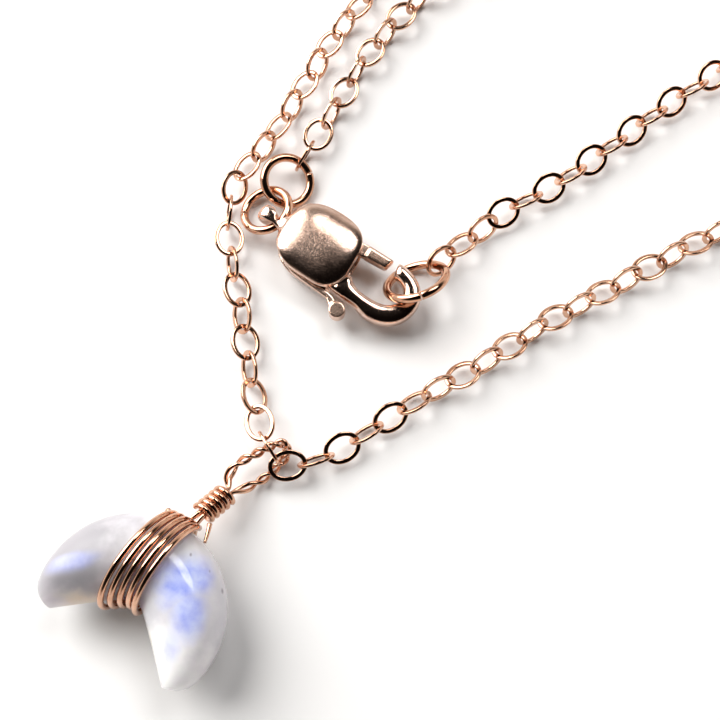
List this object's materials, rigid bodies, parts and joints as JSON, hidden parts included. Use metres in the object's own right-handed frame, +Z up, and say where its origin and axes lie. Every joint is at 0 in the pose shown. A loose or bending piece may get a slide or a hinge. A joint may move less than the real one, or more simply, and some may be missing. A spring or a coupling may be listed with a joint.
{
  "type": "pendant necklace",
  "caption": "Fine cable-chain necklace with a lobster clasp and a crescent moonstone pendant wrapped in rose gold wire, laid flat with its spare chain coiled.",
  "frame": {"origin": "on the surface that the necklace lies on, under the middle of the clasp, links and pendant, without the plain cord stretches and the coils", "axes": "+Z up from the surface; +Y from the pendant towards the clasp; +X towards the right-hand half of the chain"},
  "size_m": [0.064, 0.067, 0.0056],
  "materials": {
    "rose_gold": "polished",
    "satin_rose_gold": "satin",
    "chain_bundle": "polished",
    "moonstone": "gloss",
    "spring_steel": "satin",
    "cotton_tie": "matte"
  },
  "bodies": {
    "chain": {"left_cord_start": "chain_bundle", "left_cord_end": "chain_bundle", "left_coil": "chain_bundle", "left_tie": "cotton_tie", "right_cord_start": "chain_bundle", "right_cord_end": "chain_bundle", "right_coil": "chain_bundle", "right_tie": "cotton_tie"},
    "left_end_link_01": {"left_end_link_01": "rose_gold"},
    "left_end_link_02": {"left_end_link_02": "rose_gold"},
    "left_end_link_03": {"left_end_link_03": "rose_gold"},
    "right_end_link_01": {"right_end_link_01": "rose_gold"},
    "right_end_link_02": {"right_end_link_02": "rose_gold"},
    "right_end_link_03": {"right_end_link_03": "rose_gold"},
    "drop_link_01": {"drop_link_01": "rose_gold"},
    "drop_link_02": {"drop_link_02": "rose_gold"},
    "drop_link_03": {"drop_link_03": "rose_gold"},
    "drop_link_04": {"drop_link_04": "rose_gold"},
    "drop_link_05": {"drop_link_05": "rose_gold"},
    "drop_link_06": {"drop_link_06": "rose_gold"},
    "drop_link_07": {"drop_link_07": "rose_gold"},
    "drop_link_08": {"drop_link_08": "rose_gold"},
    "drop_link_09": {"drop_link_09": "rose_gold"},
    "drop_link_10": {"drop_link_10": "rose_gold"},
    "drop_link_11": {"drop_link_11": "rose_gold"},
    "right_link_01": {"right_link_01": "rose_gold"},
    "right_link_02": {"right_link_02": "rose_gold"},
    "right_link_03": {"right_link_03": "rose_gold"},
    "right_link_04": {"right_link_04": "rose_gold"},
    "right_link_05": {"right_link_05": "rose_gold"},
    "right_link_06": {"right_link_06": "rose_gold"},
    "right_link_07": {"right_link_07": "rose_gold"},
    "right_link_08": {"right_link_08": "rose_gold"},
    "right_link_09": {"right_link_09": "rose_gold"},
    "right_link_10": {"right_link_10": "rose_gold"},
    "chain_ring": {"chain_ring": "rose_gold"},
    "clasp_ring": {"clasp_ring": "rose_gold"},
    "tail_ring": {"tail_ring": "rose_gold"},
    "clasp": {"clasp_body": "satin_rose_gold", "clasp_pin": "satin_rose_gold", "clasp_spring": "spring_steel"},
    "lever": {"clasp_lever": "rose_gold"},
    "bail_link": {"bail_link": "rose_gold"},
    "pendant": {"moonstone": "moonstone", "stone_wrap_wire": "rose_gold", "neck_wrap_wire": "rose_gold", "bail_strand_a": "rose_gold", "bail_strand_b": "rose_gold", "wire_tail": "rose_gold"}
  },
  "joints": [
    {"name": "left_end_link_01_rock", "type": "hinge", "parent": "chain", "child": "left_end_link_01", "pos_m": [0.0005, 0.01408, 0.00095], "axis": [0.4881, 0.8728, 0], "range_deg": [-8, 8]},
    {"name": "left_end_link_02_rock", "type": "hinge", "parent": "chain", "child": "left_end_link_02", "pos_m": [0.00133, 0.01556, 0.00095], "axis": [0.488, 0.8729, 0], "range_deg": [-8, 8]},
    {"name": "left_end_link_03_rock", "type": "hinge", "parent": "chain", "child": "left_end_link_03", "pos_m": [0.00216, 0.01705, 0.00095], "axis": [0.4873, 0.8733, 0], "range_deg": [-8, 8]},
    {"name": "right_end_link_01_rock", "type": "hinge", "parent": "chain", "child": "right_end_link_01", "pos_m": [0.00904, 0.00697, 0.00105], "axis": [0.7579, 0.6496, -0.0602], "range_deg": [-8, 8]},
    {"name": "right_end_link_02_rock", "type": "hinge", "parent": "chain", "child": "right_end_link_02", "pos_m": [0.01033, 0.00807, 0.00095], "axis": [0.7769, 0.629, -0.0275], "range_deg": [-8, 8]},
    {"name": "right_end_link_03_rock", "type": "hinge", "parent": "chain", "child": "right_end_link_03", "pos_m": [0.01168, 0.00911, 0.00095], "axis": [0.8044, 0.5941, 0], "range_deg": [-8, 8]},
    {"name": "drop_link_01_rock", "type": "hinge", "parent": "chain", "child": "drop_link_01", "pos_m": [-0.00317, 0.01336, 0.00095], "axis": [-0.4313, -0.8987, 0.079], "range_deg": [-8, 8]},
    {"name": "drop_link_02_rock", "type": "hinge", "parent": "chain", "child": "drop_link_02", "pos_m": [-0.0039, 0.01183, 0.00108], "axis": [-0.3034, -0.9528, 0.0081], "range_deg": [-8, 8]},
    {"name": "drop_link_03_rock", "type": "hinge", "parent": "chain", "child": "drop_link_03", "pos_m": [-0.0042, 0.01017, 0.001], "axis": [-0.0728, -0.9966, -0.0381], "range_deg": [-8, 8]},
    {"name": "drop_link_04_rock", "type": "hinge", "parent": "chain", "child": "drop_link_04", "pos_m": [-0.00415, 0.00847, 0.00095], "axis": [0.0908, -0.9958, -0.0137], "range_deg": [-8, 8]},
    {"name": "drop_link_05_rock", "type": "hinge", "parent": "chain", "child": "drop_link_05", "pos_m": [-0.0039, 0.00679, 0.00095], "axis": [0.1744, -0.9847, 0], "range_deg": [-8, 8]},
    {"name": "drop_link_06_rock", "type": "hinge", "parent": "chain", "child": "drop_link_06", "pos_m": [-0.00355, 0.00512, 0.00095], "axis": [0.2024, -0.9793, 0], "range_deg": [-8, 8]},
    {"name": "drop_link_07_rock", "type": "hinge", "parent": "chain", "child": "drop_link_07", "pos_m": [-0.00321, 0.00346, 0.00095], "axis": [0.1774, -0.9841, 0], "range_deg": [-8, 8]},
    {"name": "drop_link_08_rock", "type": "hinge", "parent": "chain", "child": "drop_link_08", "pos_m": [-0.00296, 0.00178, 0.00095], "axis": [0.1548, -0.9879, 0], "range_deg": [-8, 8]},
    {"name": "drop_link_09_rock", "type": "hinge", "parent": "chain", "child": "drop_link_09", "pos_m": [-0.00267, 0.0001, 0.00095], "axis": [0.1839, -0.9829, 0], "range_deg": [-8, 8]},
    {"name": "drop_link_10_rock", "type": "hinge", "parent": "chain", "child": "drop_link_10", "pos_m": [-0.00234, -0.00157, 0.00095], "axis": [0.2088, -0.9775, 0.0316], "range_deg": [-8, 8]},
    {"name": "drop_link_11_rock", "type": "hinge", "parent": "chain", "child": "drop_link_11", "pos_m": [-0.00196, -0.00322, 0.00108], "axis": [0.2917, -0.9505, 0.1065], "range_deg": [-8, 8]},
    {"name": "right_link_01_rock", "type": "hinge", "parent": "chain", "child": "right_link_01", "pos_m": [-0.00025, -0.00576, 0.00108], "axis": [0.9799, 0.1934, -0.0499], "range_deg": [-8, 8]},
    {"name": "right_link_02_rock", "type": "hinge", "parent": "chain", "child": "right_link_02", "pos_m": [0.00141, -0.00542, 0.001], "axis": [0.9448, 0.3254, -0.0394], "range_deg": [-8, 8]},
    {"name": "right_link_03_rock", "type": "hinge", "parent": "chain", "child": "right_link_03", "pos_m": [0.00295, -0.0047, 0.00095], "axis": [0.8741, 0.4856, -0.0112], "range_deg": [-8, 8]},
    {"name": "right_link_04_rock", "type": "hinge", "parent": "chain", "child": "right_link_04", "pos_m": [0.00439, -0.00379, 0.00095], "axis": [0.8444, 0.5357, 0], "range_deg": [-8, 8]},
    {"name": "right_link_05_rock", "type": "hinge", "parent": "chain", "child": "right_link_05", "pos_m": [0.00582, -0.00287, 0.00095], "axis": [0.8402, 0.5423, 0], "range_deg": [-8, 8]},
    {"name": "right_link_06_rock", "type": "hinge", "parent": "chain", "child": "right_link_06", "pos_m": [0.00725, -0.00196, 0.00095], "axis": [0.848, 0.5299, 0], "range_deg": [-8, 8]},
    {"name": "right_link_07_rock", "type": "hinge", "parent": "chain", "child": "right_link_07", "pos_m": [0.00871, -0.00109, 0.00095], "axis": [0.8787, 0.4773, 0], "range_deg": [-8, 8]},
    {"name": "right_link_08_rock", "type": "hinge", "parent": "chain", "child": "right_link_08", "pos_m": [0.01021, -0.00028, 0.00095], "axis": [0.8633, 0.5048, 0], "range_deg": [-8, 8]},
    {"name": "right_link_09_rock", "type": "hinge", "parent": "chain", "child": "right_link_09", "pos_m": [0.01165, 0.00061, 0.00095], "axis": [0.8424, 0.5388, 0], "range_deg": [-8, 8]},
    {"name": "right_link_10_rock", "type": "hinge", "parent": "chain", "child": "right_link_10", "pos_m": [0.01308, 0.00153, 0.00095], "axis": [0.849, 0.5285, 0], "range_deg": [-8, 8]},
    {"name": "chain_ring_rock", "type": "hinge", "parent": "chain", "child": "chain_ring", "pos_m": [-0.0006, 0.01235, 0.00092], "axis": [0.5446, 0.8387, 0], "range_deg": [-6, 0]},
    {"name": "clasp_ring_rock", "type": "hinge", "parent": "chain", "child": "clasp_ring", "pos_m": [-0.00188, 0.01038, 0.00092], "axis": [0.5446, 0.8387, 0], "range_deg": [0, 4]},
    {"name": "tail_ring_rock", "type": "hinge", "parent": "chain", "child": "tail_ring", "pos_m": [0.00575, 0.00461, 0.00165], "axis": [0.7879, 0.5879, -0.183], "range_deg": [-4, 4]},
    {"name": "clasp_roll", "type": "hinge", "parent": "chain", "child": "clasp", "pos_m": [-0.00104, 0.00932, 0.00146], "axis": [0.8216, -0.5696, 0.023], "range_deg": [-3, 4]},
    {"name": "lever_pivot", "type": "hinge", "parent": "clasp", "child": "lever", "pos_m": [0.00081, 0.00831, 0.0015], "axis": [0, 0, -1], "range_deg": [0, 12], "stiffness_Nm_per_rad": 0.00001},
    {"name": "bail_link_rock", "type": "hinge", "parent": "chain", "child": "bail_link", "pos_m": [-0.00135, -0.00475, 0.0013], "axis": [0.5299, -0.848, 0], "range_deg": [-8, 0]},
    {"name": "pendant_swing", "type": "hinge", "parent": "bail_link", "child": "pendant", "pos_m": [-0.00135, -0.00475, 0.0013], "axis": [-0.5299, 0.848, 0], "range_deg": [0, 22]}
  ]
}
